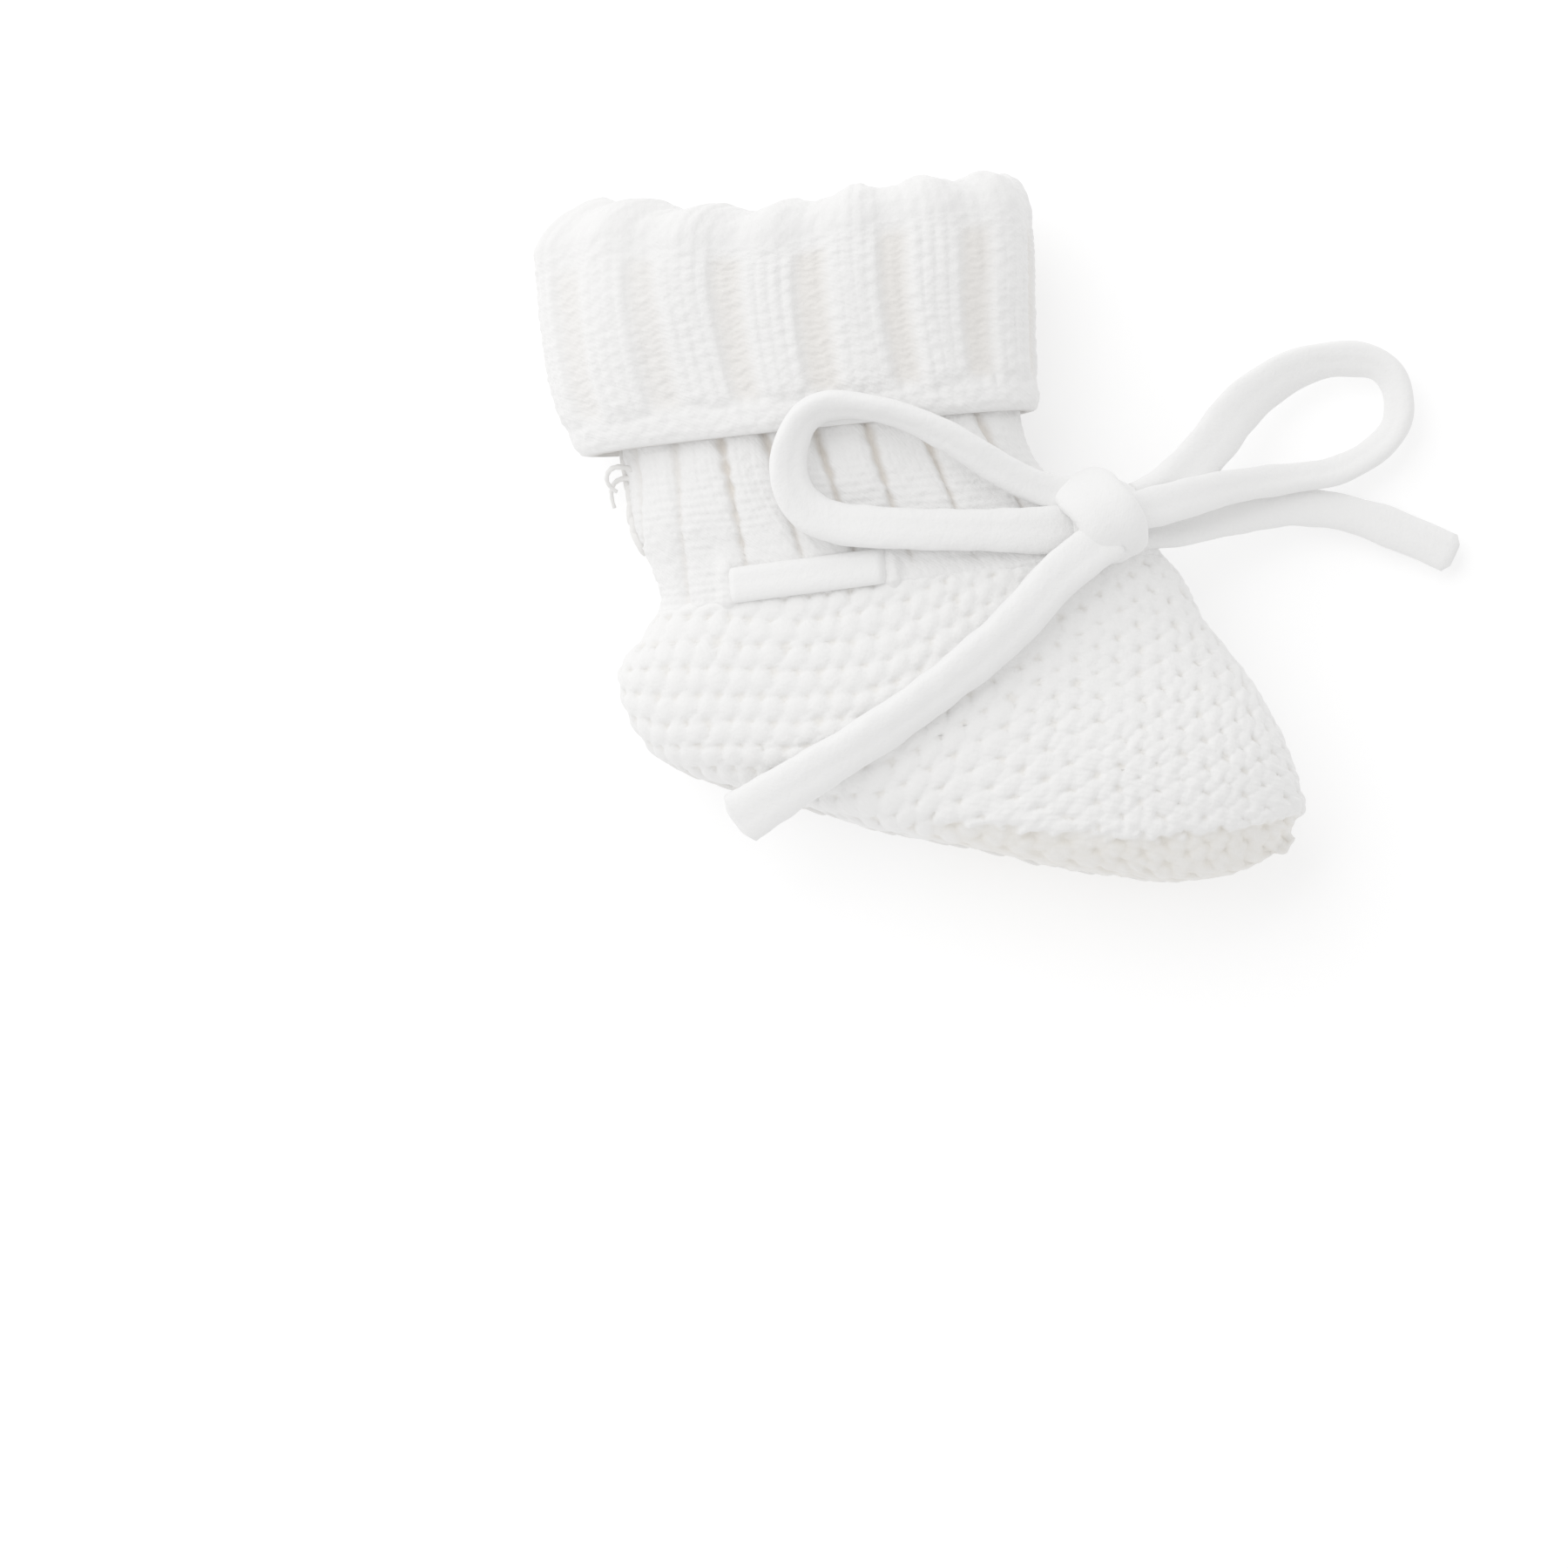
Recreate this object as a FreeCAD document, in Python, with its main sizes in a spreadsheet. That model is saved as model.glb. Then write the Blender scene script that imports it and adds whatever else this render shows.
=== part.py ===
"""Knitted baby bootie lying on its side: ribbed leg with turned-down cuff, garter foot, tape tie in a bow.

Row frame, millimetres: +Z up from the surface it lies on, +X along the sole from heel to toe,
+Y from the sole towards the leg opening.
"""
import FreeCAD, Part
import math
import os
import sys

V = FreeCAD.Vector
UP = V(0, 0, 1)

# ---------------------------------------------------------------- driving dimensions
SIZES = {
    "origin_x": -6.28,          # drawing point that becomes the row's origin
    "origin_y": 6.51,
    "mid_height": 13.8,         # height of the bootie's middle plane above the surface
    "leg_lean": 20.7,           # the leg leans back from square to the sole, degrees
    "ankle_pivot_along": -19.0,
    "ankle_pivot_up": 8.0,
    "foot_wall": 3.0,           # thick garter stitch
    "rib_wall": 2.4,
    "cuff_wall": 2.2,
    "lining_wall": 2.2,
    "cuff_room": 0.35,          # air between the turned cuff and the leg inside it
    "fold_thick": 2.2,          # height of the cuff's top fold
    "fold_room": 0.3,
    "channel_deep": 1.3,        # the tie lies in this channel round the ankle
    "tie_room": 0.1,
    "tape_tube": 4.4,           # round equivalent of the flat 7.5 x 2 tape
    "seam_tube": 1.8,
    "knot_long": 7.0,           # half sizes of the knot
    "knot_wide": 5.8,
    "knot_tall": 4.8,
    "knot_x": 20.6,
    "knot_y": 11.6,
    "knot_z": 23.0,
    "knot_turn": -58.0,
}

# Elliptical rings round the knitted tube: front point, back point, half thickness.
# Leg rings are (along, up) in the leaning leg frame, foot rings are (x, y) in the drawing.
LEG_RINGS = {
    "fold": ((13.0, 54.6), (-52.5, 54.6), 11.0),
    "cuff_high": ((14.8, 50.0), (-57.4, 49.0), 13.8),
    "cuff_mid": ((15.2, 42.0), (-58.4, 40.0), 14.8),
    "cuff_low": ((14.6, 30.0), (-57.0, 28.0), 14.6),
    "hem": ((13.6, 21.4), (-53.8, 19.6), 14.0),
    "lining_low": ((10.4, 21.6), (-48.8, 21.4), 11.2),
    "rib_high": ((10.4, 21.0), (-48.8, 20.8), 11.2),
    "rib_mid": ((12.0, 14.0), (-48.8, 13.0), 11.4),
    "rib_low": ((16.5, 8.0), (-47.7, 6.5), 11.9),
    "channel_top": ((22.0, 4.6), (-44.9, 1.6), 12.2),
    "channel_base": ((28.2, -0.2), (-43.4, -3.6), 12.6),
    "foot_top": ((32.0, -5.0), (-45.0, -7.6), 12.9),
}
FOOT_RINGS = {
    "heel_back": ((36.6, 1.6), (-42.6, -30.5), 13.4),
    "heel_base": ((40.6, -2.0), (-36.5, -39.2), 14.2),
    "arch": ((45.0, -5.6), (-12.0, -41.4), 15.0),
    "ball": ((49.2, -9.6), (14.0, -41.2), 15.0),
    "forefoot": ((53.2, -14.2), (34.0, -39.2), 13.2),
    "toe_wide": ((56.4, -18.8), (46.5, -36.0), 9.8),
    "toe_narrow": ((58.2, -22.6), (53.4, -32.4), 5.2),
    "toe_tip": ((58.4, -25.0), (56.8, -29.2), 2.1),
}

# Routes of the tape's free ends and of the seams, drawing x and y, height above the surface.
BOW_ROUTES = {
    "bow_loop_right": [
        (22.8, 14.6, 20.2), (27.6, 18.6, 18.2), (31.2, 25.8, 13.6), (34.6, 34.8, 8.2),
        (42.6, 43.6, 4.8), (54.0, 46.6, 4.4), (58.8, 37.6, 4.6), (52.4, 28.8, 4.6),
        (42.8, 24.6, 8.0), (34.6, 20.2, 15.0), (28.2, 15.6, 21.6), (22.8, 12.2, 25.4),
    ],
    "bow_tail_right": [
        (22.4, 9.8, 20.0), (29.2, 12.4, 16.4), (37.2, 17.4, 10.0), (46.6, 21.4, 5.0),
        (57.6, 22.6, 3.0), (70.2, 20.4, 2.8),
    ],
    "bow_loop_left": [
        (18.4, 14.0, 22.8), (11.4, 12.4, 23.8), (3.2, 14.4, 26.6), (-6.4, 17.0, 29.2),
        (-17.0, 17.4, 31.0), (-27.6, 14.2, 31.2), (-29.2, 4.0, 30.0), (-21.4, -1.6, 29.2),
        (-9.6, 0.8, 29.2), (2.4, 4.2, 28.0), (11.6, 6.8, 26.0), (17.6, 9.2, 23.2),
    ],
    "bow_tail_left": [
        (20.4, 8.6, 26.8), (14.6, 2.0, 29.6), (11.0, -7.8, 31.0), (3.6, -18.6, 31.6),
        (-4.0, -28.4, 30.8), (-12.0, -37.4, 28.2), (-18.8, -46.0, 22.4),
    ],
}
SOLE_SEAM = [
    (-37.4, -38.6), (-25.0, -41.4), (-10.0, -41.8), (6.0, -41.6), (21.0, -40.9),
    (34.0, -39.4), (45.0, -36.6), (52.6, -33.0),
]
BACK_SEAM = [(-45.6, 2.8), (-47.9, 7.4), (-49.0, 13.0), (-49.0, 18.6)]    # leg frame

doc = FreeCAD.newDocument("baby_bootie")
sheet = doc.addObject("Spreadsheet::Sheet", "Sizes")


def ring_cells(name, ring):
    """The sheet's entries of one ring: both end points and the half thickness."""
    front, back, half = ring
    return {
        name + "_front_x": front[0],
        name + "_front_y": front[1],
        name + "_back_x": back[0],
        name + "_back_y": back[1],
        name + "_half": half,
    }


def fill_sheet():
    cells = dict(SIZES)
    for group in (LEG_RINGS, FOOT_RINGS):
        for name, ring in group.items():
            cells.update(ring_cells(name, ring))
    for row, (alias, value) in enumerate(cells.items(), start=1):
        sheet.set("A%d" % row, alias)
        sheet.set("B%d" % row, str(value))
        sheet.setAlias("B%d" % row, alias)
    doc.recompute()


def size(alias):
    return float(sheet.get(alias))


def drawing_to_row(x, y, z):
    return V(x - size("origin_x"), y - size("origin_y"), z)


def leg_to_row(along, up, z):
    """A point of the leaning leg frame, in the row frame."""
    lean = math.radians(size("leg_lean"))
    x = math.cos(lean) * along - math.sin(lean) * up
    y = math.sin(lean) * along + math.cos(lean) * up
    return drawing_to_row(x, y, z)


# ---------------------------------------------------------------- rings and lofts
def ring_ends(name):
    place = leg_to_row if name in LEG_RINGS else drawing_to_row
    height = size("mid_height")
    front = place(size(name + "_front_x"), size(name + "_front_y"), height)
    back = place(size(name + "_back_x"), size(name + "_back_y"), height)
    return front, back


def ring(name, owner, inset="0"):
    """An upright ellipse from the ring's front point to its back point, smaller by inset."""
    front, back = ring_ends(name)
    ellipse = doc.addObject("Part::Ellipse", owner + "_" + name)
    span = "sqrt((Sizes.{0}_front_x - Sizes.{0}_back_x)^2 + (Sizes.{0}_front_y - Sizes.{0}_back_y)^2)"
    ellipse.setExpression("MajorRadius", (span + " / 2 - ({1})").format(name, inset))
    ellipse.setExpression("MinorRadius", "Sizes.{0}_half - ({1})".format(name, inset))
    heading = math.degrees(math.atan2(front.y - back.y, front.x - back.x))
    ellipse.Placement = FreeCAD.Placement((front + back) * 0.5, FreeCAD.Rotation(heading, 0, 90))
    return ellipse


def loft(name, rings, inset="0"):
    solid = doc.addObject("Part::Loft", name)
    solid.Sections = [ring(each, name, inset) for each in rings]
    solid.Solid = True
    solid.Ruled = False
    return solid


def cut(name, base, tool):
    result = doc.addObject("Part::Cut", name)
    result.Base = base
    result.Tool = tool
    return result


def above_surface(name, body):
    """The knit lies flat where it meets the surface: nothing is left below it."""
    slab = doc.addObject("Part::Box", name + "_room")
    slab.Length = 200
    slab.Width = 200
    slab.Height = 60
    slab.Placement.Base = V(-100, -100, 0)
    kept = doc.addObject("Part::Common", name)
    kept.Base = body
    kept.Tool = slab
    return kept


def make_foot():
    outer = loft("foot_outer", ["foot_top"] + list(FOOT_RINGS))
    inner_rings = ["channel_base", "foot_top"] + list(FOOT_RINGS)[:-2]
    inner = loft("foot_inner", inner_rings, "Sizes.foot_wall")
    return above_surface("foot_shell", cut("foot_pouch", outer, inner))


def make_ankle():
    rings = ["rib_high", "rib_mid", "rib_low", "channel_top", "channel_base", "foot_top"]
    tube_wall = cut("ankle_tube", loft("ankle_outer", rings), loft("ankle_inner", rings, "Sizes.rib_wall"))
    channel = ["channel_top", "channel_base"]
    groove = cut(
        "ankle_groove",
        loft("groove_outer", channel, "-2"),
        loft("groove_inner", channel, "Sizes.channel_deep"),
    )
    return cut("ankle_rib", tube_wall, groove)


def make_tie_band():
    channel = ["channel_top", "channel_base"]
    return cut(
        "tie_band",
        loft("band_outer", channel, "Sizes.tie_room"),
        loft("band_inner", channel, "Sizes.channel_deep - Sizes.tie_room"),
    )


def make_cuff():
    outer = loft("cuff_outer", ["hem", "cuff_low", "cuff_mid", "cuff_high", "fold"])
    room = loft("cuff_room", ["hem", "cuff_low", "cuff_mid", "cuff_high"], "Sizes.cuff_wall")
    mouth_inset = "Sizes.cuff_wall + Sizes.cuff_room + Sizes.lining_wall"
    mouth = loft("cuff_mouth", ["cuff_high", "fold"], mouth_inset)
    return above_surface("turned_cuff", cut("cuff_ring", cut("cuff_sleeve", outer, room), mouth))


def make_lining():
    """The leg inside the cuff, from the ankle rib up to the fold."""
    gap = "Sizes.cuff_wall + Sizes.cuff_room"
    outer = doc.addObject("Part::Loft", "lining_outer")
    outer.Sections = [ring("lining_low", "lining_outer")] + [
        ring(each, "lining_outer", gap) for each in ("cuff_low", "cuff_mid", "cuff_high")
    ]
    outer.Solid = True
    inner = doc.addObject("Part::Loft", "lining_inner")
    inner.Sections = [ring("lining_low", "lining_inner", "Sizes.lining_wall")] + [
        ring(each, "lining_inner", gap + " + Sizes.lining_wall")
        for each in ("cuff_low", "cuff_mid", "cuff_high")
    ]
    inner.Solid = True
    return cut("leg_lining", outer, inner)


# ---------------------------------------------------------------- tape and seams
def route_edges(points):
    """Straight runs joined by tangent arcs; returns the edges and the arcs' radii."""
    edges = []
    radii = []
    start = points[0]
    for before, corner, after in zip(points[:-2], points[1:-1], points[2:]):
        way_in = (corner - before).normalize()
        way_out = (after - corner).normalize()
        turn = way_in.getAngle(way_out)
        reach = 0.45 * min(before.distanceToPoint(corner), corner.distanceToPoint(after))
        radius = reach / math.tan(turn / 2)
        arc_start = corner - way_in * reach
        arc_end = corner + way_out * reach
        inward = (way_out - way_in).normalize()
        arc_middle = corner + inward * (radius / math.cos(turn / 2) - radius)
        edges.append(Part.LineSegment(start, arc_start).toShape())
        edges.append(Part.Arc(arc_start, arc_middle, arc_end).toShape())
        radii.append(radius)
        start = arc_end
    edges.append(Part.LineSegment(start, points[-1]).toShape())
    return edges, radii


def tube(name, points, width):
    """A round tube along the route, its width a cell of the sheet."""
    edges, radii = route_edges(points)
    path = doc.addObject("Part::Feature", name + "_path")
    path.Shape = Part.Wire(edges)
    profile = doc.addObject("Part::Circle", name + "_profile")
    profile.setExpression("Radius", "Sizes.%s / 2" % width)
    heading = (points[1] - points[0]).normalize()
    profile.Placement = FreeCAD.Placement(points[0], FreeCAD.Rotation(UP, heading))
    sweep = doc.addObject("Part::Sweep", name)
    sweep.Sections = [profile]
    sweep.Spine = (path, ["Edge%d" % (index + 1) for index in range(len(edges))])
    sweep.Solid = True
    doc.recompute()
    expected = math.pi * (size(width) / 2) ** 2 * path.Shape.Length
    print(
        "%s: length %.1f mm, smallest radius %.1f mm, volume %.1f of %.1f mm3"
        % (name, path.Shape.Length, min(radii), sweep.Shape.Volume, expected)
    )
    return sweep


def make_knot():
    knot = doc.addObject("Part::Ellipsoid", "bow_knot")
    knot.setExpression("Radius1", "Sizes.knot_tall")
    knot.setExpression("Radius2", "Sizes.knot_long")
    knot.setExpression("Radius3", "Sizes.knot_wide")
    centre = drawing_to_row(size("knot_x"), size("knot_y"), size("knot_z"))
    knot.Placement = FreeCAD.Placement(centre, FreeCAD.Rotation(UP, size("knot_turn")))
    return knot


def make_seams():
    height = size("mid_height")
    sole = [drawing_to_row(x, y, height) for x, y in SOLE_SEAM]
    back = [leg_to_row(along, up, height) for along, up in BACK_SEAM]
    return [tube("sole_seam", sole, "seam_tube"), tube("back_seam", back, "seam_tube")]


def make_bow():
    return [
        tube(name, [drawing_to_row(*point) for point in points], "tape_tube")
        for name, points in BOW_ROUTES.items()
    ]


# ---------------------------------------------------------------- build, check, write
def check(parts):
    doc.recompute()
    for thing in doc.Objects:
        if "Invalid" in thing.State or "Error" in thing.State:
            sys.exit("failed object: " + thing.Name)
    for part in parts:
        if part.Shape.isNull() or not part.Shape.isValid():
            sys.exit("bad shape: " + part.Label)


fill_sheet()
sub_parts = [make_foot(), make_ankle(), make_lining(), make_cuff(), make_tie_band(), make_knot()]
sub_parts += make_bow()
sub_parts += make_seams()
check(sub_parts)

os.makedirs("parts", exist_ok=True)
for part in sub_parts:
    part.Label = part.Name
    part.Shape.exportStep("parts/%s.step" % part.Label)
    box = part.Shape.BoundBox
    print(
        "%-15s solids %d  volume %8.1f  x %6.2f %6.2f  y %6.2f %6.2f  z %5.2f %5.2f"
        % (part.Label, len(part.Shape.Solids), part.Shape.Volume,
           box.XMin, box.XMax, box.YMin, box.YMax, box.ZMin, box.ZMax)
    )
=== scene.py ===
"""Looks of the knitted baby bootie: garter foot, ribbed leg with its turned-down cuff, tape tie in a bow.

Lengths are in millimetres until a mesh is made. The bootie lies on its side: +Z up, +X heel to toe,
+Y towards the leg opening. "Near" is the side that faces up, "far" the side it lies on.
"""
import math
import bpy
import numpy as np
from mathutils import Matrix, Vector


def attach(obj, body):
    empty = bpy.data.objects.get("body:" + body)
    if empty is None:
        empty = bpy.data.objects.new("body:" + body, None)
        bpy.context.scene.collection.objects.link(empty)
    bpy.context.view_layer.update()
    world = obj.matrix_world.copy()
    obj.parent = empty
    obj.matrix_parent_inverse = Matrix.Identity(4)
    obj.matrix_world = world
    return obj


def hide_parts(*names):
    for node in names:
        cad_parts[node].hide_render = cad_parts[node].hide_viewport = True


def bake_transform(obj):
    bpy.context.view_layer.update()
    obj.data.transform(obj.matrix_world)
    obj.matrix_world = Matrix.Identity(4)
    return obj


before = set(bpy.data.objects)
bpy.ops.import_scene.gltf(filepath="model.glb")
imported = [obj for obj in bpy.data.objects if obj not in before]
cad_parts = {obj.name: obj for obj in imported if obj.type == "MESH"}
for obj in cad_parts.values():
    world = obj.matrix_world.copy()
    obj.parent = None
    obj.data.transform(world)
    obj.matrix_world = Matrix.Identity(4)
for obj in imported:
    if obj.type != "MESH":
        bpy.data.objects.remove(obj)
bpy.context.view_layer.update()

MM = 0.001
MID = 13.8                        # height of the bootie's middle plane
ORIGIN = (-6.28, 6.51)            # the drawing point at the row's origin
LEAN = math.radians(20.7)         # the leg leans back from square to the sole
TURN = math.radians(16.0)         # the camera is turned this far; the garter rows run level in its view
ROUND = 150                       # about the way round the leg, for patterns that go by length


# ---------------- places
def drawn(x, y):
    """A point of the drawing, in the row frame."""
    return (x - ORIGIN[0], y - ORIGIN[1])


def leg_vector(along, up):
    """A direction in the leaning leg's own frame, as a direction in the row frame."""
    x = math.cos(LEAN) * along - math.sin(LEAN) * up
    y = math.sin(LEAN) * along + math.cos(LEAN) * up
    return np.array([x, y])


def leaning(along, up):
    """A point of the leaning leg's own frame, in the row frame."""
    return drawn(*leg_vector(along, up).tolist())


def leg_frame(points):
    """How far forward and how far up each point is in the leaning leg's own frame."""
    x = points[..., 0] + ORIGIN[0]
    y = points[..., 1] + ORIGIN[1]
    return math.cos(LEAN) * x + math.sin(LEAN) * y, -math.sin(LEAN) * x + math.cos(LEAN) * y


def leg_ring(front, back, half):
    return (*leaning(*front), *leaning(*back), half)


def foot_ring(front, back, half):
    return (*drawn(*front), *drawn(*back), half)


# Rings round the knit: front point, back point, half thickness. They keep close to the CAD part's.
FOLD = leg_ring((14.2, 55.0), (-51.4, 54.8), 11.0)
CUFF_HIGH = leg_ring((14.6, 50.0), (-58.2, 48.4), 13.8)
CUFF_MID = leg_ring((14.4, 42.0), (-58.4, 40.0), 14.8)
CUFF_LOW = leg_ring((13.9, 30.0), (-57.0, 28.0), 14.6)
HEM = leg_ring((13.8, 20.6), (-53.8, 19.2), 14.0)
LINING_LOW = leg_ring((10.4, 22.4), (-48.8, 22.2), 11.2)
RIB_TOP = leg_ring((10.4, 22.0), (-47.6, 21.8), 11.5)
RIB_MID = leg_ring((12.0, 14.0), (-47.4, 13.0), 11.9)
RIB_LOW = leg_ring((16.5, 8.0), (-46.4, 6.5), 11.9)
CHANNEL_TOP = leg_ring((22.0, 4.6), (-44.6, 1.6), 12.2)
CHANNEL_BASE = leg_ring((28.2, -0.2), (-44.2, -3.4), 12.6)
FOOT_TOP = leg_ring((32.0, -5.0), (-46.6, -7.2), 12.9)
HEEL_BACK = foot_ring((36.6, 1.6), (-43.2, -30.3), 13.4)
HEEL_BASE = foot_ring((41.0, -1.7), (-36.5, -39.2), 14.2)
ARCH = foot_ring((45.7, -5.2), (-12.0, -41.4), 15.0)
BALL = foot_ring((50.1, -9.2), (14.0, -41.2), 15.0)
FOREFOOT = foot_ring((54.2, -13.8), (34.0, -39.2), 13.2)
TOE_WIDE = foot_ring((57.4, -18.5), (46.5, -36.0), 9.8)
TOE_NARROW = foot_ring((59.1, -22.4), (53.4, -32.4), 5.2)
TOE_TIP = foot_ring((59.0, -25.0), (56.8, -29.2), 2.1)

# The tape's free stretches: drawing x and y, height, then the tape's width, thickness and roll in degrees.
BOW = {
    "bow_loop_right": [
        (22.8, 14.6, 20.2, 5.8, 3.0, 0), (27.6, 18.6, 18.2, 6.8, 2.8, -8),
        (31.2, 25.8, 13.6, 7.6, 2.5, -16), (34.6, 34.8, 8.2, 7.2, 2.5, -20),
        (42.6, 43.6, 4.8, 6.0, 2.6, -25), (54.0, 46.6, 4.4, 4.8, 2.8, -30),
        (58.8, 37.6, 4.6, 4.6, 2.9, -30), (52.4, 28.8, 4.6, 4.2, 2.9, -20),
        (42.8, 24.6, 8.0, 4.6, 2.7, -10), (34.6, 20.6, 15.0, 5.2, 2.4, 0),
        (28.2, 16.2, 21.6, 6.0, 2.4, 0), (22.0, 12.6, 24.9, 5.6, 2.6, 0),
    ],
    "bow_tail_right": [
        (22.4, 9.8, 20.0, 5.0, 2.8, 0), (29.2, 12.4, 16.4, 5.4, 2.6, 8),
        (37.2, 17.4, 10.0, 6.0, 2.4, 12), (46.6, 22.0, 5.0, 5.6, 2.4, 10),
        (57.8, 23.4, 3.0, 5.6, 2.4, 5), (71.4, 21.3, 2.8, 6.2, 2.4, 0),
    ],
    "bow_loop_left": [
        (18.4, 14.0, 22.8, 5.6, 2.8, 0), (11.6, 11.9, 24.2, 5.2, 2.6, 0),
        (2.8, 12.9, 27.0, 4.8, 2.6, 10), (-6.0, 15.6, 29.8, 4.6, 2.6, 35),
        (-16.4, 17.0, 31.2, 4.8, 2.5, 62), (-27.6, 14.6, 31.2, 5.2, 2.5, 44),
        (-28.2, 4.0, 30.0, 5.8, 2.6, 20), (-22.0, -1.7, 29.2, 6.4, 2.6, 12),
        (-9.6, 0.8, 29.2, 5.9, 2.6, 5), (2.4, 4.2, 28.0, 6.0, 2.5, 0),
        (11.6, 6.8, 26.0, 7.0, 2.4, 0), (17.6, 9.2, 23.2, 7.0, 2.5, 0),
    ],
    "bow_tail_left": [
        (20.4, 8.6, 26.8, 6.6, 2.8, 0), (14.6, 2.0, 29.4, 7.0, 3.2, 10),
        (10.4, -8.0, 30.8, 6.8, 3.5, 22), (3.2, -18.6, 31.4, 6.6, 3.5, 27),
        (-4.4, -28.2, 30.8, 6.6, 3.5, 26), (-12.6, -37.0, 28.4, 7.0, 3.3, 18),
        (-20.7, -46.2, 22.6, 8.4, 2.9, 8),
    ],
}
TAPE_SQUARE = 0.8                 # how square the tape's section is; 1 would be an oval


# ---------------- camera, floor and light
def new_object(name, data):
    """A new object, in the scene."""
    obj = bpy.data.objects.new(name, data)
    bpy.context.collection.objects.link(obj)
    return obj


def make_camera():
    """Straight down from far off, framed with room below the bootie and to its left."""
    lens = 120.0
    sensor = 36.0
    framed = 230.8                # width of the view at the middle plane
    over = (-9.18, -45.61)        # the point in the middle of the view
    data = bpy.data.cameras.new("camera")
    data.lens = lens
    data.sensor_width = sensor
    data.clip_start = 0.01
    data.clip_end = 10.0
    camera = new_object("camera", data)
    height = MID + framed * lens / sensor
    camera.location = Vector((*over, height)) * MM
    camera.rotation_euler = (0, 0, TURN)
    bpy.context.scene.camera = camera


def make_floor():
    """White paper that glows a little, so that shade on it stays faint."""
    half = 3.0
    white = 0.93
    glow = 0.22
    corners = [(-half, -half, 0), (half, -half, 0), (half, half, 0), (-half, half, 0)]
    mesh = bpy.data.meshes.new("floor")
    mesh.from_pydata(corners, [], [(0, 1, 2, 3)])
    floor = new_object("floor", mesh)
    material = bpy.data.materials.new("floor_paper")
    material.use_nodes = True
    fill(material.node_tree, material.node_tree.nodes["Principled BSDF"], {
        "Base Color": (white, white, white, 1),
        "Roughness": 0.9,
        "Specular IOR Level": 0.1,
        "Emission Color": (1, 1, 1, 1),
        "Emission Strength": glow,
    })
    mesh.materials.append(material)


def make_light():
    """Even light from all sides, and one large soft box above the top left."""
    even = 0.68
    box_side = 1.1
    box_power = 5.4
    box_place = (-0.66, 0.3, 0.66)
    flatness = 1.8                # a display gamma that keeps the whites close together
    world = bpy.data.worlds.new("studio")
    bpy.context.scene.world = world
    world.use_nodes = True
    fill(world.node_tree, world.node_tree.nodes["Background"], {"Color": (1, 1, 1, 1), "Strength": even})
    data = bpy.data.lights.new("softbox", "AREA")
    data.shape = "SQUARE"
    data.size = box_side
    data.energy = box_power
    lamp = new_object("softbox", data)
    lamp.location = box_place
    lamp.rotation_euler = (Vector((0, 0, 0)) - lamp.location).to_track_quat("-Z", "Y").to_euler()
    view = bpy.context.scene.view_settings
    view.view_transform = "Standard"
    view.gamma = flatness


# ---------------- mesh helpers
def finish_piece(obj, body, nodes, material):
    """Gives the piece its material, links it to its body and hides the CAD parts that it stands for."""
    obj.data.materials.append(material)
    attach(obj, body)
    if nodes:
        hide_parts(*nodes)


def grid_mesh(name, points, fabric, tone_and_painted_shade, looped):
    """A closed smooth mesh. Columns go round; rows close on themselves, or end in a pole at each end.

    points is rows x columns x 3; fabric has one more column, so that its pattern closes without a jump.
    """
    rows, columns = points.shape[:2]
    vertex = np.arange(rows * columns).reshape(rows, columns)
    vertex = np.concatenate([vertex, vertex[:, :1]], axis=1)
    if looped:
        vertex = np.concatenate([vertex, vertex[:1]], axis=0)
        fabric = np.concatenate([fabric, fabric[:1]], axis=0)
    places = points.reshape(-1, 3)
    tones_and_painted_shades = tone_and_painted_shade.reshape(-1)
    faces = cell_corners(vertex).reshape(-1, 4).tolist()
    corners = cell_corners(fabric).reshape(-1, 2)
    if not looped:
        for row, pole in ((0, rows * columns), (rows - 1, rows * columns + 1)):
            ring = vertex[row]
            fan = np.stack([ring[:-1], ring[1:], np.full(columns, pole)], axis=1)
            faces += (fan if row else fan[:, ::-1]).tolist()
            middle = points[row].mean(axis=0, keepdims=True)
            places = np.concatenate([places, middle])
            tones_and_painted_shades = np.append(tones_and_painted_shades, tone_and_painted_shade[row].mean())
            uv_ring = fabric[row]
            uv_fan = np.stack([uv_ring[:-1], uv_ring[1:], uv_ring[:-1]], axis=1)
            corners = np.concatenate([corners, (uv_fan if row else uv_fan[:, ::-1]).reshape(-1, 2)])
    return knit_object(name, places, faces, corners, tones_and_painted_shades)


def cell_corners(grid):
    """What the grid holds at the four corners of each of its cells, cell by cell."""
    return np.stack([grid[:-1, :-1], grid[:-1, 1:], grid[1:, 1:], grid[1:, :-1]], axis=2)


def knit_object(name, places, faces, corners, tones_and_painted_shades):
    """An object from points in millimetres, with its fabric map and, at each point, how much of the yarn's
    second colour is mixed in: painted shade, and on the seam yarn a fixed tone.
    """
    places = np.asarray(places)
    first = np.array([face[:3] for face in faces])
    a, b, c = (places[first[:, k]] for k in range(3))
    inside_out = np.einsum("ij,ij->i", a - places.mean(axis=0), np.cross(b - a, c - a)).sum() < 0
    mesh = bpy.data.meshes.new(name)
    mesh.from_pydata((places * MM).tolist(), [], faces)
    layer = mesh.uv_layers.new(name="fabric")
    layer.data.foreach_set("uv", np.asarray(corners, dtype=np.float32).ravel())
    values = mesh.attributes.new("tone_and_painted_shade", "FLOAT", "POINT")
    values.data.foreach_set("value", np.asarray(tones_and_painted_shades, dtype=np.float32))
    if inside_out:
        mesh.flip_normals()
    mesh.shade_smooth()
    mesh.update()
    return new_object(name, mesh)


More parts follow.
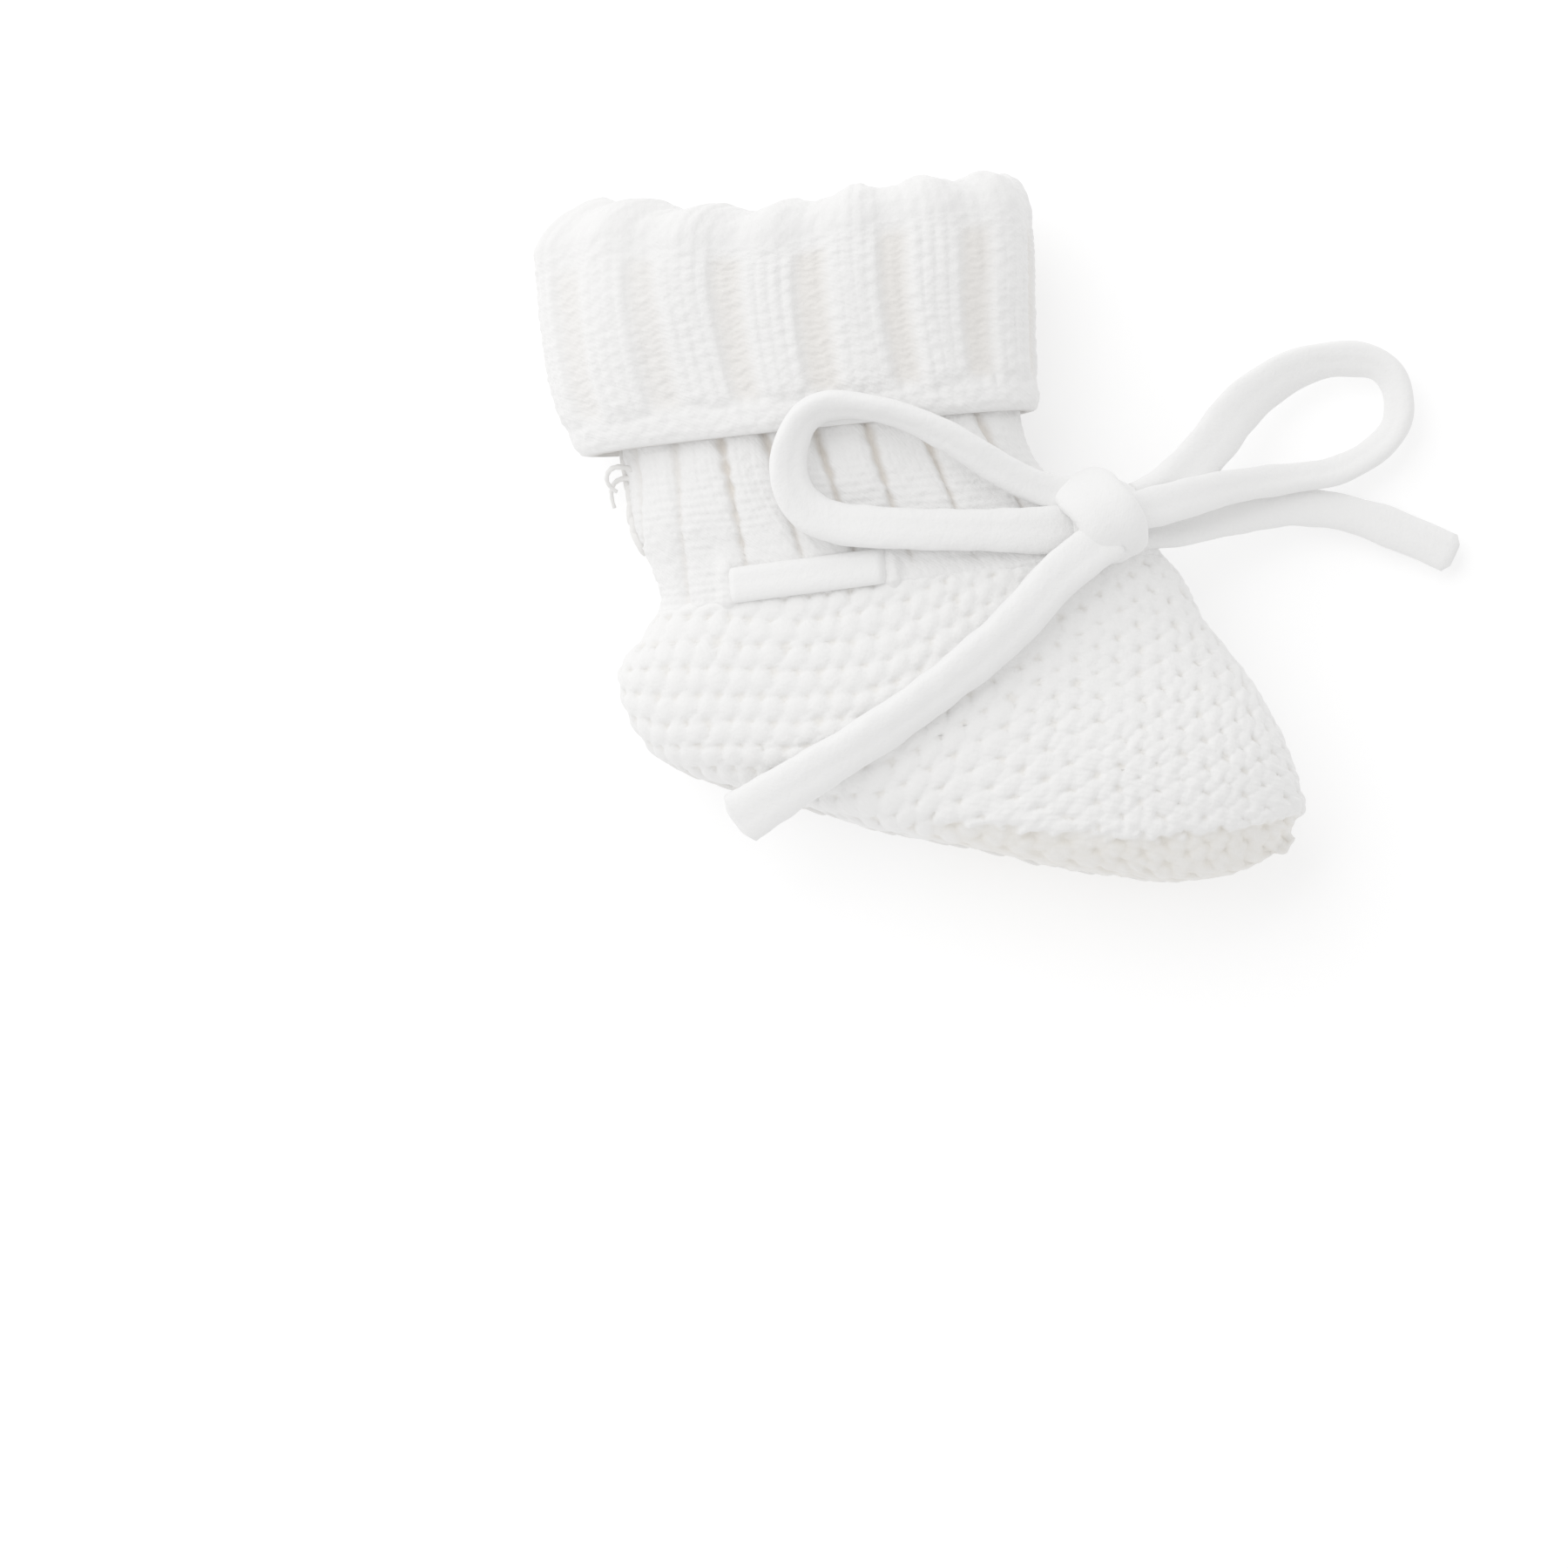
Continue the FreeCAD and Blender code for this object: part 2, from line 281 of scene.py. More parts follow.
def through(knots, values, at):
    """A smooth curve through the values at the knots, read at the given places."""
    slopes = np.gradient(values, knots, axis=0)
    index = np.clip(np.searchsorted(knots, at, side="right") - 1, 0, len(knots) - 2)
    gap = (knots[index + 1] - knots[index])[:, None]
    t = (at - knots[index])[:, None] / gap
    low, high = values[index], values[index + 1]
    rise, fall = slopes[index] * gap, slopes[index + 1] * gap
    return (
        low * (2 * t**3 - 3 * t**2 + 1) + rise * (t**3 - 2 * t**2 + t)
        + high * (3 * t**2 - 2 * t**3) + fall * (t**3 - t**2)
    )


def ring_knots(rings):
    """How far along the knit each ring is: the mean step of its front, back and middle."""
    steps = np.diff(rings, axis=0)
    front = np.hypot(steps[:, 0], steps[:, 1])
    back = np.hypot(steps[:, 2], steps[:, 3])
    middle = np.hypot(steps[:, 0] + steps[:, 2], steps[:, 1] + steps[:, 3]) / 2
    return np.concatenate([[0], np.cumsum((front + back + middle) / 3)])


def unit(vectors):
    """The same directions at length one."""
    return vectors / np.linalg.norm(vectors, axis=1, keepdims=True)


def smoothstep(low, high, value):
    t = np.clip((value - low) / (high - low), 0, 1)
    return t * t * (3 - 2 * t)


def waves(x, y, size, seed):
    """Smooth unevenness between about -1 and 1, with bumps of the given size."""
    rng = np.random.default_rng(seed)
    total = np.zeros(np.broadcast(x, y).shape)
    for _ in range(7):
        angle = rng.uniform(0, math.tau)
        length = size * rng.uniform(0.7, 1.6)
        ahead = x * math.cos(angle) + y * math.sin(angle)
        total += np.sin(ahead * math.tau / length + rng.uniform(0, math.tau))
    return total / 3.2


BLUNT = 2.35                      # how square the knit's sections are; 2 would be an ellipse


class Tube:
    """A knitted tube's smooth surface: rows along it, columns round it from the back over the near side."""

    def __init__(self, rings, columns, inset=0.0, back_blunt=None):
        rings = np.asarray(rings, dtype=float)
        half_long = np.hypot(rings[:, 0] - rings[:, 2], rings[:, 1] - rings[:, 3]) / 2 - inset
        half_thick = rings[:, 4] - inset
        centre = (rings[:, :2] + rings[:, 2:4]) / 2
        forward = unit(rings[:, :2] - rings[:, 2:4])
        count = len(rings)
        self.points = np.zeros((count, columns, 3))
        self.girth = np.zeros(count)
        angle = np.linspace(0, math.tau, 1441)
        if back_blunt is None:
            back_blunt = np.full(count, BLUNT)
        self.share = np.arange(columns) / columns
        for row in range(count):
            power = 2 / np.where(np.cos(angle) > 0, back_blunt[row], BLUNT)
            long_shape = -np.sign(np.cos(angle)) * np.abs(np.cos(angle)) ** power
            thick_shape = np.sign(np.sin(angle)) * np.abs(np.sin(angle)) ** power
            x = long_shape * max(half_long[row], 0.01)
            z = thick_shape * max(half_thick[row], 0.01)
            run = np.concatenate([[0], np.cumsum(np.hypot(np.diff(x), np.diff(z)))])
            at = self.share * run[-1]
            x, z = np.interp(at, run, x), np.interp(at, run, z)
            self.points[row, :, :2] = centre[row] + x[:, None] * forward[row]
            self.points[row, :, 2] = MID + z
            self.girth[row] = run[-1]
        self.centre = centre
        self.forward = forward
        self.points[..., 2] = rest_on_floor(self.points[..., 2])
        self.normals = self.outward()

    def outward(self):
        p = self.points
        across = np.roll(p, -1, axis=1) - np.roll(p, 1, axis=1)
        along = np.gradient(p, axis=0)
        n = np.cross(across, along)
        n /= np.maximum(np.linalg.norm(n, axis=2, keepdims=True), 1e-9)
        middle = p.mean(axis=1, keepdims=True)
        if np.sum(n * (p - middle)) < 0:
            n = -n
        return n

    def unrolled(self):
        """Where each point falls on the near side laid flat; the far side mirrors it."""
        round_from_top = self.girth[:, None] * (0.25 - np.abs(self.share - 0.5))[None, :]
        return self.centre[:, None, :] + self.forward[:, None, :] * round_from_top[..., None]

    def raised(self, height):
        """The surface moved outwards by the height, still resting on the floor."""
        moved = self.points + self.normals * height[..., None]
        moved[..., 2] = rest_on_floor(moved[..., 2])
        return moved


def rest_on_floor(z):
    """Soft knit flattens where it meets the surface."""
    floor = 0.25
    soft = 0.6
    return 0.5 * (z + floor + np.sqrt((z - floor) ** 2 + soft**2))


def rings_along(rings, count):
    """As many rings as asked for, evenly spaced on a smooth course through the given ones."""
    rings = np.asarray(rings, dtype=float)
    knots = ring_knots(rings)
    return through(knots, rings, knots[-1] * np.linspace(0, 1, count))


# ---------------- materials
def fill(tree, node, inputs):
    """Gives each input its value, or links it to another node's output."""
    for name, value in inputs.items():
        if isinstance(value, bpy.types.NodeSocket):
            tree.links.new(value, node.inputs[name])
        else:
            node.inputs[name].default_value = value


def new_node(tree, kind, inputs, output, **options):
    """Adds a shader node with its options and inputs set, and returns one of its outputs."""
    node = tree.nodes.new("ShaderNode" + kind)
    for option, value in options.items():
        setattr(node, option, value)
    fill(tree, node, inputs)
    return node.outputs[output]


def knit_material(name, pale, tone_and_painted_shade_colour, stitch_scale, twist_depth, fibre):
    """White cotton yarn: fibres and twist in the bump, and a warmer, darker colour mixed in by a per-point
    attribute: painted shade in the hollows and on faces turned from the light, and on the seam yarn a fixed
    tone.
    """
    material = bpy.data.materials.new(name)
    material.use_nodes = True
    tree = material.node_tree
    place = new_node(tree, "TexCoord", {}, "Object")
    # Colour: cloudy unevenness of the yarn, then painted shade from the per-point attribute (on the seam yarn
    # a fixed tone).
    cloud = new_node(tree, "TexNoise", {"Scale": 160.0, "Detail": 4.0, "Vector": place}, "Fac")
    clouded = [0.975 * c for c in pale]
    tones = {"A": (*pale, 1), "B": (*clouded, 1), "Factor": cloud}
    tone = new_node(tree, "Mix", tones, "Result", data_type="RGBA")
    tone_and_painted_shade_share = new_node(tree, "Attribute", {}, "Fac", attribute_name="tone_and_painted_shade")
    shades = {"A": tone, "B": (*tone_and_painted_shade_colour, 1), "Factor": tone_and_painted_shade_share}
    shade = new_node(tree, "Mix", shades, "Result", data_type="RGBA")
    # Roughness follows the fibres.
    fuzz = new_node(tree, "TexNoise", {"Scale": 2600.0, "Detail": 5.0, "Vector": place}, "Fac")
    rough = new_node(tree, "MapRange", {"To Min": 0.82, "To Max": 1.0, "Value": fuzz}, "Result")
    # Bump: the twist of the plies along the stitches, then the thick and thin of the yarn, then its fibres.
    fabric = new_node(tree, "UVMap", {}, "UV", uv_map="fabric")
    stretch = new_node(tree, "Mapping", {"Scale": stitch_scale, "Vector": fabric}, "Vector")
    twist = new_node(
        tree, "TexWave", {"Scale": 1.0, "Distortion": 2.0, "Detail": 2.0, "Vector": stretch}, "Fac",
        wave_type="BANDS", bands_direction="DIAGONAL",
    )
    lumps = new_node(tree, "TexNoise", {"Scale": 1050.0, "Detail": 2.0, "Vector": place}, "Fac")
    plies = new_node(tree, "Bump", {"Strength": twist_depth, "Distance": 0.00008, "Height": twist}, "Normal")
    slub = {"Strength": fibre, "Distance": 0.00022, "Height": lumps, "Normal": plies}
    fibres = {"Strength": fibre, "Distance": 0.00012, "Height": fuzz}
    fibres["Normal"] = new_node(tree, "Bump", slub, "Normal")
    fill(tree, tree.nodes["Principled BSDF"], {
        "Base Color": shade,
        "Roughness": rough,
        "Sheen Weight": 0.25,
        "Sheen Roughness": 0.6,
        "Specular IOR Level": 0.15,
        "Normal": new_node(tree, "Bump", fibres, "Normal"),
    })
    return material


# ---------------- tape
def nurbs_points(controls, steps=24):
    """Points along the smooth spline that has the given control points."""
    curve = bpy.data.curves.new("route", "CURVE")
    curve.dimensions = "3D"
    spline = curve.splines.new("NURBS")
    spline.points.add(len(controls) - 1)
    for point, place in zip(spline.points, controls):
        point.co = (*place, 1.0)
    spline.order_u = 3
    spline.use_endpoint_u = True
    spline.resolution_u = steps
    holder = new_object("route", curve)
    bpy.context.view_layer.update()
    mesh = bpy.data.meshes.new_from_object(holder)
    points = np.array([vertex.co[:] for vertex in mesh.vertices])
    bpy.data.objects.remove(holder)
    bpy.data.curves.remove(curve)
    bpy.data.meshes.remove(mesh)
    return points


def oval(angle):
    """The squarish oval of the tape's section, across and up."""
    across = np.sign(np.cos(angle)) * np.abs(np.cos(angle)) ** TAPE_SQUARE
    up = np.sign(np.sin(angle)) * np.abs(np.sin(angle)) ** TAPE_SQUARE
    return across, up


def tape_outline(width, thick, count):
    """Sections of the curled jersey tape: a flat oval, creased on top, its two rolled edges meeting below."""
    angle = np.linspace(0, math.tau, count, endpoint=False)[None, :]
    flat, high = oval(angle)
    crease = 0.10 * np.exp(-(((flat + 0.10) / 0.20) ** 2)) * (np.sin(angle) > 0)
    fold = 0.55 * np.exp(-((flat / 0.14) ** 2)) * (np.sin(angle) < 0)
    across = flat * width[:, None] / 2
    out = (high - crease + fold) * thick[:, None] / 2
    return across, out


def tape_mesh(name, points, width, thick, roll, side_of, open_ends=(True, True)):
    """A length of tape along the points, each end cut straight and slightly rounded."""
    tangent = unit(np.gradient(points, axis=0))
    side = side_of(tangent)
    side = unit(side - tangent * np.sum(side * tangent, axis=1, keepdims=True))
    face = np.cross(side, tangent)
    turn = np.radians(roll)[:, None]
    side, face = side * np.cos(turn) + face * np.sin(turn), face * np.cos(turn) - side * np.sin(turn)
    run = np.concatenate([[0], np.cumsum(np.linalg.norm(np.diff(points, axis=0), axis=1))])
    wobble = waves(run, run * 0, 9.0, len(name) + 3)
    width = width * (1 + 0.03 * wobble)
    around = 40
    across, out = tape_outline(width, thick, around)
    lane = np.linspace(0, 24, around, endpoint=False)[None, :]
    uneven = 1 + 0.025 * waves(lane, run[:, None], 5.0, len(name) + 7)
    across, out = across * uneven, out * uneven
    squeeze = np.ones(len(points))
    for end, distance in ((open_ends[0], run), (open_ends[1], run[-1] - run)):
        if end:
            squeeze = np.minimum(squeeze, np.sqrt(np.clip(0.35 + distance / 0.9, 0.35, 1)))
    across = across * squeeze[:, None]
    out = out * squeeze[:, None]
    grid = points[:, None, :] + side[:, None, :] * across[..., None] + face[:, None, :] * out[..., None]
    steps = np.hypot(np.diff(across, axis=1, append=across[:, :1]), np.diff(out, axis=1, append=out[:, :1]))
    u = np.concatenate([np.zeros((len(points), 1)), np.cumsum(steps, axis=1)], axis=1)
    fabric = np.stack([u, np.broadcast_to(run[:, None], u.shape)], axis=-1)
    tone_and_painted_shade = np.zeros(grid.shape[:2])
    return grid_mesh(name, grid, fabric, tone_and_painted_shade, looped=False)


def level_side(tangent):
    """Across the tape when it lies face up."""
    return np.cross(tangent, np.array([0.0, 0.0, 1.0]))


def make_bow(material):
    """The loops and tails, each from the knot out along its route."""
    for name, route in BOW.items():
        controls = [(*drawn(x, y), z) for x, y, z, _, _, _ in route]
        points = nurbs_points(controls)
        shape = nurbs_points([(width, thick, roll) for _, _, _, width, thick, roll in route])
        kind = "loop" if "loop" in name else "tail"
        ends = (False, kind == "tail")
        piece = tape_mesh(name + "_tape", points, shape[:, 0], shape[:, 1], shape[:, 2], level_side, ends)
        finish_piece(piece, "foot", [name], material)


KNOT_TURN = -48.0                 # the way the wrap runs over the knot, degrees


def make_knot(material):
    """The tape's wrap over the knot, from its top edge across to the lower right, and the bulk inside."""
    wrap = [
        (15.6, 13.0, 17.0, 5.5, 2.6), (13.4, 14.8, 19.6, 7.0, 3.0), (13.8, 14.6, 24.6, 8.6, 3.6),
        (16.8, 12.6, 28.2, 9.6, 4.0), (20.2, 10.0, 28.4, 9.2, 4.0), (22.8, 7.4, 25.2, 7.6, 3.4),
        (22.8, 7.4, 19.8, 5.6, 2.8), (20.6, 9.4, 17.2, 4.6, 2.4),
    ]
    points = nurbs_points([(*drawn(x, y), z) for x, y, z, _, _ in wrap])
    shape = nurbs_points([(width, thick, 0) for _, _, _, width, thick in wrap])
    heading = math.radians(KNOT_TURN + 90.0)
    across = np.array([-math.cos(heading), -math.sin(heading), 0.0])

    def side(tangent):
        return np.broadcast_to(across, tangent.shape)

    piece = tape_mesh("knot_wrap", points, shape[:, 0], shape[:, 1], shape[:, 2], side)
    finish_piece(piece, "foot", ["bow_knot"], material)
    core = lump("knot_core", (*drawn(18.2, 11.2), 22.8), (6.2, 5.8, 5.2), math.radians(KNOT_TURN))
    finish_piece(core, "foot", [], material)


def lump(name, centre, halves, turn):
    """The soft bulk of tape inside the knot, uneven like wound fabric."""
    rows, columns = 40, 56
    lat = np.linspace(0.03, math.pi - 0.03, rows)[:, None]
    lon = np.linspace(0, math.tau, columns, endpoint=False)[None, :]
    x = np.cos(lat) * np.ones_like(lon)
    y = np.sin(lat) * np.cos(lon)
    z = np.sin(lat) * np.sin(lon)
    swell = 1 + 0.05 * waves(x * 8, y * 8 + z * 5, 6.0, 5)
    local = np.stack([x * halves[0], y * halves[1], z * halves[2]], axis=-1) * swell[..., None]
    c, s = math.cos(turn), math.sin(turn)
    grid = np.stack([
        centre[0] + local[..., 0] * c - local[..., 1] * s,
        centre[1] + local[..., 0] * s + local[..., 1] * c,
        centre[2] + local[..., 2],
    ], axis=-1)
    u = np.broadcast_to(np.arange(columns + 1)[None, :] * 0.6, (rows, columns + 1))
    v = np.broadcast_to(np.arange(rows)[:, None] * 0.35, (rows, columns + 1))
    return grid_mesh(name, grid, np.stack([u, v], axis=-1), np.zeros((rows, columns)), looped=False)


# ---------------- garter foot
ROW_GAP = 3.75                    # from ridge to ridge where the rows run level
BEND_AT = -8.1                    # beyond this the rows rise towards the instep
BEND_SOFT = 2.5
RISE = math.tan(math.radians(30.0))
STITCH_DEEP = 0.80                # from the top of a stitch to the hollow between stitches
STITCHES_PER_MM = 0.303
FANNED = 0.052                    # how many fewer stitches per mm there are past the instep
SLANT = 0.145                     # how far the stitches of one row are shifted from the next, towards the toe
STITCH_WIDE = 3.3


def garter(flat):
    """Height of the garter stitch and a knit coordinate, at points of the fabric laid flat."""
    c, s = math.cos(TURN), math.sin(TURN)
    p = flat[..., 0] * c + flat[..., 1] * s
    q = -flat[..., 0] * s + flat[..., 1] * c
    p = p + 0.35 * waves(p, q, 16.0, 21)
    q = q + 0.3 * waves(p, q, 18.0, 22)
    bend = (p - BEND_AT) / BEND_SOFT
    climb = RISE * BEND_SOFT * np.logaddexp(0, bend)
    slope = RISE / (1 + np.exp(-bend))
    gap = ROW_GAP * np.cos(np.arctan(slope))
    row = (q - climb) / ROW_GAP
    turned = smoothstep(-12.0, 32.0, p)
    stitch = STITCHES_PER_MM * p - FANNED * np.clip(p - 10.0, 0, None) + turned * SLANT * (q + 24.0)
    pitch = STITCH_WIDE + 0.15 * turned
    height = np.full(p.shape, -STITCH_DEEP)
    base = np.floor(row)
    for lift in (0, 1):
        ridge = base + lift
        odd = np.mod(ridge, 2)
        # Each stitch shows a large bump on its ridge and a smaller one in the furrow, half a stitch over.
        for offset, half_over, wide, tall, level, arch in (
            (0.0, 0.0, 2.02, 1.95 - 0.35 * turned, 0.0, 0.10),
            (-0.47, 0.5, 1.5 + 0.4 * turned, 1.2 + 0.3 * turned, -0.26 + 0.2 * turned, -0.14),
        ):
            shift = 0.5 * odd + half_over
            near = np.floor(stitch - shift)
            for step in (0, 1):
                place = near + step
                dice = jitter(ridge, place + (40 if half_over else 0))
                x = (stitch - shift - place) * pitch + 0.30 * dice[0]
                y = (row - ridge - offset) * gap + 0.22 * dice[1]
                y = y + arch * x * x - 0.10 * x
                size = 1 + 0.07 * dice[2]
                round_off = (x / (wide * size)) ** 2 + (y / (tall * size)) ** 2
                bump = level - STITCH_DEEP * (1 - np.clip(1 - round_off**1.25, 0, 1) ** 0.6)
                # Nearer the toe a slanting crease parts the two legs of the stitch.
                bump = bump - 0.12 * turned * np.exp(-(((x + 0.5 * y - 0.2) / 0.42) ** 2))
                height = np.maximum(height, bump)
    height = height + (0.04 + 0.05 * turned) * waves(p, q, 1.5, 23)
    return height, row, stitch


DICE_ROWS, DICE_PLACES = 97, 89
DICE = np.random.default_rng(3).uniform(-1, 1, (3, DICE_ROWS, DICE_PLACES))


def jitter(row, place):
    """Three numbers between -1 and 1 for each stitch, always the same for the same stitch."""
    i = np.mod(row, DICE_ROWS).astype(int)
    j = np.mod(place, DICE_PLACES).astype(int)
    return DICE[:, i, j]


SOLE_STEP = 1.0                   # how far the side wall is set back under the edge
SOLE_EDGE = np.array([            # drawing x and y, heel end first
    (-12.0, -41.6), (-3.4, -39.9), (14.5, -36.7), (25.6, -34.4),
    (35.7, -32.4), (44.1, -29.1), (52.5, -25.5), (57.5, -22.3),
])


def below_sole_edge(points):
    """How far each point is past the edge where the upper turns down, and how much that edge shows."""
    x = points[..., 0] + ORIGIN[0]
    y = points[..., 1] + ORIGIN[1]
    edge = np.interp(x, SOLE_EDGE[:, 0], SOLE_EDGE[:, 1])
    return (edge - y) * 0.93, smoothstep(-2.0, 16.0, x)


FOOT = [CHANNEL_BASE, FOOT_TOP, HEEL_BACK, HEEL_BASE, ARCH, BALL, FOREFOOT, TOE_WIDE]
FOOT_WALL = 3.2


def make_foot(material):
    """The garter foot, a pouch with its inside; returns the line along which the sole is linked."""
    columns = 330
    rings = toe_end(rings_along(FOOT + [TOE_NARROW, TOE_TIP], 262))
    toward_toe = smoothstep(0.35, 0.7, np.arange(len(rings)) / len(rings))
    outer = Tube(rings, columns, back_blunt=BLUNT + 1.3 * toward_toe)
    stitched, row, stitch = garter(outer.unrolled())
    rows = len(outer.points)
    start = np.arange(rows)[:, None]
    tuck = smoothstep(0, 8, start)
    past, taper = below_sole_edge(outer.points)
    past = past + 0.5 * waves(outer.points[..., 0], outer.points[..., 1], 3.0, 24)
    wall = taper * smoothstep(-0.5, 1.1, past)
    lip = taper * np.exp(-(((past + 1.1) / 1.0) ** 2))
    set_back = SOLE_STEP * wall * smoothstep(8.5, 4.0, past)
    height = stitched * (1 - 0.25 * wall) - set_back + 0.2 * lip
    raised = outer.raised(height * (0.3 + 0.7 * tuck) + 0.3 - 0.9 * (1 - smoothstep(0, 7, start)))
    inner = Tube(rings_along(FOOT, 22), columns, inset=FOOT_WALL)
    points = np.concatenate([raised[::-1], inner.points])
    knit = knit_map(stitch[::-1], row[::-1], len(inner.points))
    # Painted shade: a warmer, darker colour in the hollows between the stitches and on the sole's side wall,
    # which turns away from the light; the hidden inside of the pouch takes a fixed share.
    tone_and_painted_shade_share = np.clip((-stitched - 0.42) / 0.8 + 0.9 * wall, 0, 1)
    tone_and_painted_shade_share = np.concatenate([tone_and_painted_shade_share[::-1], np.full(inner.points.shape[:2], 0.5)])
    piece = grid_mesh("foot_knit", points, knit, tone_and_painted_shade_share, looped=False)
    finish_piece(piece, "foot", ["foot_shell"], material)
    sole_line = outer.raised(-0.45 - set_back)[:, 0]
    heel, toe = int(0.27 * rows), int(0.90 * rows)
    return sole_line[heel:toe:8]


def toe_end(rings):
    """The rings with a rounded end added past the toe's last ring."""
    reach = 1.6
    heading = math.radians(-14)
    last = rings[-1]
    centre = (last[:2] + last[2:4]) / 2
    half = (last[:2] - last[2:4]) / 2
    onward = np.array([math.cos(heading), math.sin(heading)])
    extra = []
    for t in np.linspace(0, 1, 7)[1:-1]:
        shrink = math.sqrt(1 - t * t)
        middle = centre + onward * reach * t
        extra.append((*(middle + half * shrink), *(middle - half * shrink), last[4] * shrink))
    return np.concatenate([rings, extra])


# ---------------- ribbed ankle
SLIT_UP = 18.0                    # height up the leg at which the slits are placed
SLITS = [                         # place along the leg, forward drift per mm down, boldness
    (-46.0, 0.0, 0.35), (-40.2, 0.0, 0.45), (-33.3, 0.12, 1.0), (-26.6, 0.22, 0.9),
    (-19.2, 0.24, 1.0), (-11.7, 0.25, 1.0), (-3.6, 0.31, 1.0), (5.2, 0.38, 0.8),
]
EYELETS = (-34.2, -10.2)          # along the leg, where the tape goes in under a bar of knit
ANKLE = [RIB_TOP, RIB_MID, RIB_LOW, CHANNEL_TOP, CHANNEL_BASE, FOOT_TOP]
ANKLE_WALL = 2.6


def slit_shares(tube, along, up):
    """Where the slits between the ribs cross each row, as shares of the way round the near side."""
    half = along.shape[1] // 2
    shares = np.zeros((len(along), len(SLITS)))
    for k, (place, drift, _) in enumerate(SLITS):
        target = place + (SLIT_UP - up[:, :half]) * drift
        for row in range(len(along)):
            shares[row, k] = np.interp(0, along[row, :half] - target[row], tube.share[:half])
    return shares


def make_ankle(material):
    """The ribbed ankle, its far side a mirror of the near; returns the line up its back to be linked."""
    rows, columns = 170, 520
    wales_round = 152
    outer = Tube(rings_along(ANKLE, rows), columns)
    along, up = leg_frame(outer.points)
    shares = slit_shares(outer, along, up)
    folded = 0.5 - np.abs(outer.share - 0.5)
    gaps = np.abs(folded[None, :, None] - shares[:, None, :])
    distance = gaps.min(axis=2) * outer.girth[:, None]
    distance = np.maximum(distance + 0.16 * waves(folded * ROUND, up, 2.6, 45), 0)
    bold = np.array([bold for _, _, bold in SLITS])[gaps.argmin(axis=2)]
    ends_at = -2.0 - 5.0 * (1 - smoothstep(-38.0, -34.0, along))
    strong = smoothstep(ends_at, ends_at + 5.0, up)
    bold = bold * (0.7 + 0.3 * smoothstep(6, 16, up))
    slit = bold * np.exp(-((distance / (0.36 + 0.30 * smoothstep(9, 20, up))) ** 2))
    crown = 0.35 * smoothstep(0, 2.0, distance)
    wale = folded[None, :] * wales_round
    course = up / 1.25
    across = np.abs(np.mod(wale, 1) - 0.5)
    grain = 0.10 * np.abs(np.sin(math.pi * wale)) + 0.035 * np.sin(math.tau * (course - 0.9 * across))
    grain = grain + stitches(folded * ROUND, up, 0.06)
    height = strong * (crown - 1.15 * slit - 0.2) + grain
    height += 0.25 * waves(outer.points[..., 0], outer.points[..., 1], 11.0, 41)
    for eyelet in EYELETS:
        bar = np.exp(-(np.abs((along - eyelet) / 1.15) ** 3))
        height += 1.1 * bar * smoothstep(-7.5, -4.5, up) * (1 - smoothstep(0.5, 3.5, up))
    sink = smoothstep(rows - 22, rows - 2, np.arange(rows))[:, None]
    raised = outer.raised(height - 2.4 * sink)
    inner = Tube(rings_along(ANKLE[::-1], 20), columns, inset=ANKLE_WALL)
    points = np.concatenate([raised, inner.points])
    # Painted shade: a warmer, darker colour down in the slits between the ribs; the inside takes a fixed
    # share.
    tone_and_painted_shade_share = np.clip(0.85 * strong * slit, 0, 1)
    tone_and_painted_shade_share = np.concatenate([tone_and_painted_shade_share, np.full(inner.points.shape[:2], 0.4)])
    knit = knit_map(wale, course, len(inner.points))
    piece = grid_mesh("ankle_knit", points, knit, tone_and_painted_shade_share, looped=True)
    bend_piece(piece, "ankle_rib", material)
    seen = (up[:, 0] > 1.5) & (up[:, 0] < 19.5)
    return raised[seen, 0][::10]


def bend_piece(piece, node, material):
    """Gives a piece that bends with the ankle its material, bakes its place into its mesh and hides the CAD
    part that it stands for.
    """
    piece.data.materials.append(material)
    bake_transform(piece)
    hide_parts(node)


# ---------------- cuff and leg
RIBS = 14
RIB_SHIFT = 0.20                  # where the first ladder comes, as a share of a rib
CUFF_DEEP = 31.0                  # from the hem's edge to where the fold starts


def rib_pattern(share, up):
    """Height of the wide rib: columns of four wales with a ladder of bars between them."""
    share = share + 0.0022 * waves(up, share * 170, 24.0, 71)
    period = np.mod(share * RIBS + RIB_SHIFT, 1.0)
    # From 0 in the middle of a column to 1 in the middle of a ladder.
    column = np.abs(period - 0.5) * 2
    inside = 1 - smoothstep(0.48, 0.86, column)
    wales = np.clip((period - 0.5) / 0.60, -0.5, 0.5) * 4
    across = np.mod(wales, 1.0) * 2 - 1
    course = up / 1.05
    wale = 0.24 * np.sqrt(np.clip(1 - across**2, 0, 1))
    leg = 0.025 * np.sin(math.tau * (course - 0.45 * np.abs(across)))
    zigzag = np.abs(np.mod(period * 5.2, 1.0) - 0.5)
    uneven = 0.25 * waves(share * ROUND, up, 4.0, 72)
    ladder = 0.15 * np.abs(np.sin(math.pi * (course + zigzag + uneven)))
    dome = 0.30 * (1 - np.clip(column / 0.7, 0, 1) ** 2)
    return inside, course, dome, wale + leg, ladder


CUFF = [HEM, CUFF_LOW, CUFF_MID, CUFF_HIGH]
CUFF_WALL = 2.2
MOUTH_INSET = 4.75                # from the cuff's outside over the fold to the leg's opening


